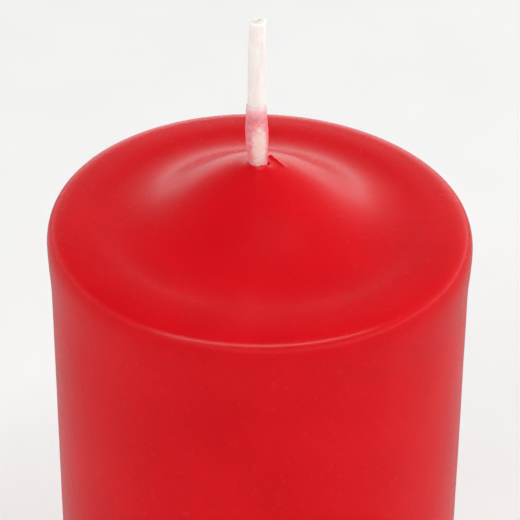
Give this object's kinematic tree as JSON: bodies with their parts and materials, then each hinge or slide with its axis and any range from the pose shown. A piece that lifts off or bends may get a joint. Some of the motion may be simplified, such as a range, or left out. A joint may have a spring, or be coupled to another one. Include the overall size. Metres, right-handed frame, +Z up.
{
  "type": "pillar candle",
  "caption": "Round red pillar candle with a flat-ringed, cone-mounded top, rounded rim and a straight white primed wick.",
  "frame": {"origin": "centre of the base, on the surface the candle stands on", "axes": "+Z up along the wick; X and Y are free, since the candle is round"},
  "size_m": [0.0606, 0.0606, 0.1426],
  "materials": {
    "core_wax": "dull pressed wax, pale cream",
    "coat_wax": "soft satin wax, saturated red",
    "wick_cotton": "plaited cotton yarn",
    "priming_wax": "thin translucent white wax",
    "stained_wax": "thin pink-stained wax film",
    "sustainer_steel": "tinned, stamped"
  },
  "bodies": {
    "root": {"wax_core": "core_wax", "colour_coat": "coat_wax", "wick_strand_1": "wick_cotton", "wick_strand_2": "wick_cotton", "wick_strand_3": "wick_cotton", "wick_priming_wax": "priming_wax", "wick_dip_collar": "stained_wax", "wick_sustainer": "sustainer_steel"}
  },
  "joints": []
}
